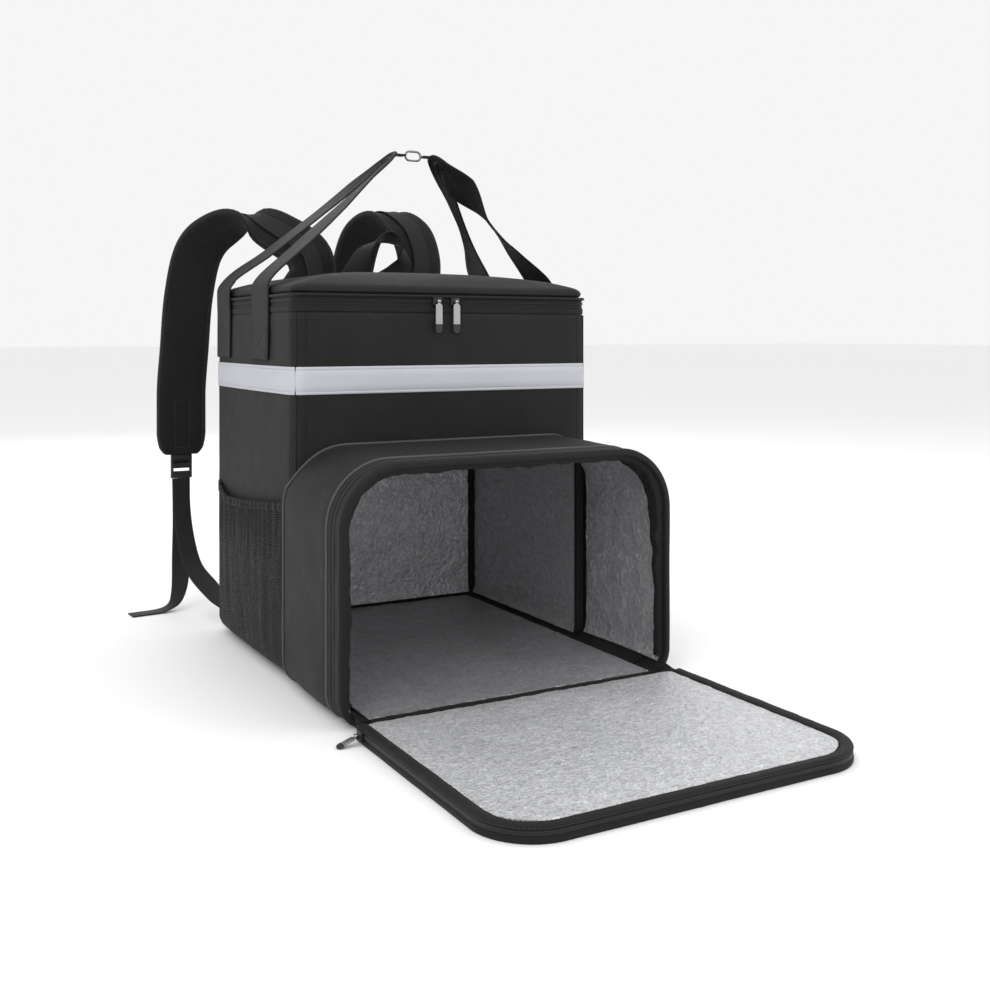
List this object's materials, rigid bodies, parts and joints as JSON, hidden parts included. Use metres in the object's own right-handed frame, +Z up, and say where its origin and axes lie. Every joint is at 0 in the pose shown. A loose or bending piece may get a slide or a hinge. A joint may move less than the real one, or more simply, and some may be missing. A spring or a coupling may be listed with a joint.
{
  "type": "insulated delivery backpack",
  "caption": "Black insulated delivery backpack with a crowned lid, a front compartment lying open on its foil-faced flap, shoulder straps and clasped carry handles.",
  "frame": {"origin": "centre of the main body's base, on the floor", "axes": "+Z up, -Y out of the front compartment, +Y to the wearer's back, +X to the right seen from the front"},
  "size_m": [0.4982, 0.9595, 0.6455],
  "materials": {
    "oxford": "matte woven, coated",
    "zip_tape": "matte",
    "webbing": "matte ribbed weave",
    "pad_cloth": "matte spacer mesh",
    "pocket_mesh": "open mesh",
    "trim": "satin",
    "reflective": "satin retroreflective",
    "foil": "crinkled foil laminate",
    "nickel": "satin",
    "black_metal": "satin",
    "black_plastic": "matte"
  },
  "bodies": {
    "root": {"back_panel": "oxford", "base_panel": "oxford", "carry_handle_left": "webbing", "carry_handle_right": "webbing", "clasp_keeper_left": "webbing", "clasp_keeper_right": "webbing", "clasp_ring": "nickel", "compartment_base": "oxford", "compartment_gusset": "oxford", "compartment_mouth_band": "zip_tape", "flap_foil": "foil", "flap_panel": "oxford", "flap_slider": "black_metal", "flap_zip_band": "zip_tape", "foil_back": "foil", "foil_compartment": "foil", "foil_floor": "foil", "foil_left": "foil", "foil_right": "foil", "front_panel": "oxford", "grab_handle": "webbing", "hinge_strip": "oxford", "ladder_lock_left": "black_plastic", "ladder_lock_right": "black_plastic", "left_side_panel": "oxford", "lid": "oxford", "lid_zip_band": "zip_tape", "lower_webbing_left": "webbing", "lower_webbing_right": "webbing", "mesh_pocket": "pocket_mesh", "mouth_piping": "trim", "pad_webbing_left": "webbing", "pad_webbing_right": "webbing", "pocket_binding": "trim", "reflective_band": "reflective", "right_side_panel": "oxford", "seam_piping": "trim", "shoulder_pad_left": "pad_cloth", "shoulder_pad_right": "pad_cloth", "webbing_tail_left": "webbing", "webbing_tail_right": "webbing", "zip_slider_left": "black_metal", "zip_slider_right": "black_metal"},
    "zip_pull_left_body": {"zip_pull_left": "nickel"},
    "zip_pull_right_body": {"zip_pull_right": "nickel"},
    "flap_pull_body": {"flap_pull": "nickel"},
    "clasp_gate_body": {"clasp_gate": "nickel"}
  },
  "joints": [
    {"name": "zip_pull_left", "type": "hinge", "parent": "root", "child": "zip_pull_left_body", "pos_m": [-0.018, -0.16028, 0.441], "axis": [-1, 0, 0], "range_deg": [0, 160]},
    {"name": "zip_pull_right", "type": "hinge", "parent": "root", "child": "zip_pull_right_body", "pos_m": [0.006, -0.16028, 0.441], "axis": [-1, 0, 0], "range_deg": [0, 160]},
    {"name": "flap_pull", "type": "hinge", "parent": "root", "child": "flap_pull_body", "pos_m": [-0.2082, -0.3619, 0.0087], "axis": [0, 1, 0], "range_deg": [0, 130]},
    {"name": "clasp_gate", "type": "hinge", "parent": "root", "child": "clasp_gate_body", "pos_m": [0.0122, -0.014, 0.632], "axis": [0, -1, 0], "range_deg": [0, 25], "stiffness_Nm_per_rad": 0.003}
  ]
}
